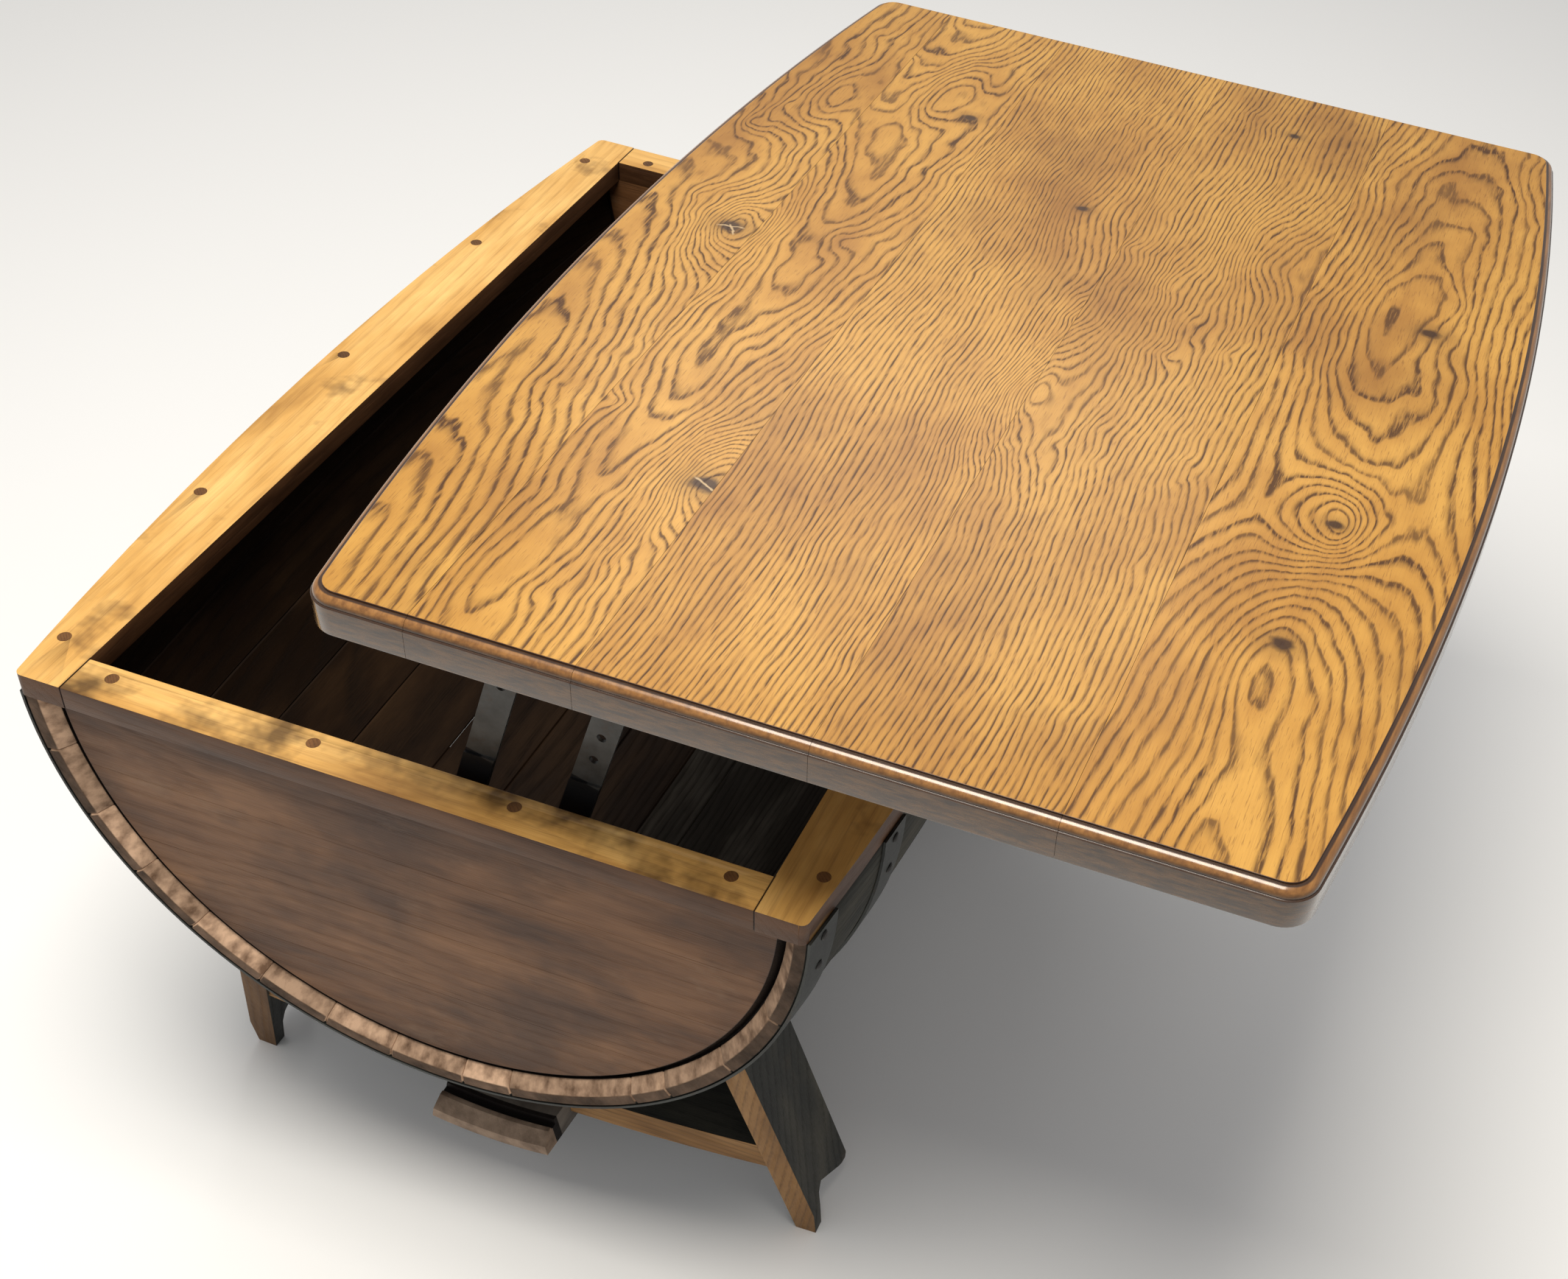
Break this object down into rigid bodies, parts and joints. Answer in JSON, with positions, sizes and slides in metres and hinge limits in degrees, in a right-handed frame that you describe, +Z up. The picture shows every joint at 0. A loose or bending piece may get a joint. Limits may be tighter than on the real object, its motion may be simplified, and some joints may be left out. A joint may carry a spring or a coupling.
{
  "type": "lift-top coffee table",
  "caption": "Half-barrel coffee table on splayed stave legs, with a bow-sided oak top that lifts and swings sideways on paired parallel steel arms.",
  "frame": {"origin": "on the floor, under the middle of the outline of the whole table with its top raised; the barrel lies 164 mm to the -X side of it", "axes": "Z up; Y along the barrel, the front head facing -Y; the top swings up and over towards +X; the row is drawn with the top raised"},
  "size_m": [0.9911, 0.964, 0.7366],
  "materials": {
    "stave_wood": "satin dark oak",
    "head_wood": "satin brown oak",
    "rail_wood": "satin light oak",
    "plug_wood": "dark end grain",
    "leg_wood": "weathered grey oak",
    "top_wood": "gloss lacquered oak",
    "batten_wood": "satin oak",
    "hoop_steel": "dark oiled steel",
    "nail_steel": "dark forged",
    "arm_steel": "grey satin",
    "plate_steel": "grey satin",
    "pin_steel": "zinc plated",
    "screw_steel": "zinc plated"
  },
  "bodies": {
    "base": {"stave_1": "stave_wood", "stave_2": "stave_wood", "stave_3": "stave_wood", "stave_4": "stave_wood", "stave_5": "stave_wood", "stave_6": "stave_wood", "stave_7": "stave_wood", "stave_8": "stave_wood", "stave_9": "stave_wood", "stave_10": "stave_wood", "stave_11": "stave_wood", "stave_12": "stave_wood", "stave_13": "stave_wood", "stave_14": "stave_wood", "head_front": "head_wood", "head_back": "head_wood", "head_hoop_front": "hoop_steel", "head_hoop_back": "hoop_steel", "quarter_hoop_front": "hoop_steel", "quarter_hoop_back": "hoop_steel", "bilge_hoop_front": "hoop_steel", "bilge_hoop_back": "hoop_steel", "hoop_nails": "nail_steel", "side_rail_left": "rail_wood", "side_rail_right": "rail_wood", "end_rail_front": "rail_wood", "end_rail_back": "rail_wood", "rail_plugs": "plug_wood", "rail_screws": "screw_steel", "leg_front_left": "leg_wood", "leg_front_right": "leg_wood", "leg_back_left": "leg_wood", "leg_back_right": "leg_wood", "stretcher_front": "leg_wood", "stretcher_back": "leg_wood", "centre_stave": "leg_wood", "base_screws": "screw_steel", "base_dowels": "batten_wood", "hinge_board_front": "batten_wood", "hinge_board_back": "batten_wood", "hinge_plate_front": "plate_steel", "hinge_plate_back": "plate_steel", "lower_pivots": "pin_steel", "hinge_screws": "screw_steel"},
    "arm_front_left": {"arm_front_left": "arm_steel"},
    "arm_front_right": {"arm_front_right": "arm_steel"},
    "arm_back_left": {"arm_back_left": "arm_steel"},
    "arm_back_right": {"arm_back_right": "arm_steel"},
    "top": {"top_board_1": "top_wood", "top_board_2": "top_wood", "top_board_3": "top_wood", "top_board_4": "top_wood", "top_board_5": "top_wood", "top_battens": "batten_wood", "bracket_front": "plate_steel", "bracket_back": "plate_steel", "upper_pivots": "pin_steel", "top_screws": "screw_steel"}
  },
  "joints": [
    {"name": "arm_front_left_hinge", "type": "hinge", "parent": "base", "child": "arm_front_left", "pos_m": [-0.14999, -0.3961, 0.46296], "axis": [0, 1, 0], "range_deg": [-94, 0]},
    {"name": "arm_front_right_hinge", "type": "hinge", "parent": "base", "child": "arm_front_right", "pos_m": [-0.07199, -0.3907, 0.46296], "axis": [0, 1, 0], "range_deg": [-94, 0]},
    {"name": "arm_back_left_hinge", "type": "hinge", "parent": "base", "child": "arm_back_left", "pos_m": [-0.14999, 0.3961, 0.46296], "axis": [0, 1, 0], "range_deg": [-94, 0]},
    {"name": "arm_back_right_hinge", "type": "hinge", "parent": "base", "child": "arm_back_right", "pos_m": [-0.07199, 0.3907, 0.46296], "axis": [0, 1, 0], "range_deg": [-94, 0]},
    {"name": "top_hinge", "type": "hinge", "parent": "arm_front_left", "child": "top", "pos_m": [-0.08041, -0.3961, 0.69056], "axis": [0, 1, 0], "range_deg": [0, 94]}
  ],
  "couplings": [
    {"joint": "arm_front_right_hinge", "follows": "arm_front_left_hinge", "ratio": 1},
    {"joint": "arm_back_left_hinge", "follows": "arm_front_left_hinge", "ratio": 1},
    {"joint": "arm_back_right_hinge", "follows": "arm_front_left_hinge", "ratio": 1},
    {"joint": "top_hinge", "follows": "arm_front_left_hinge", "ratio": -1}
  ]
}
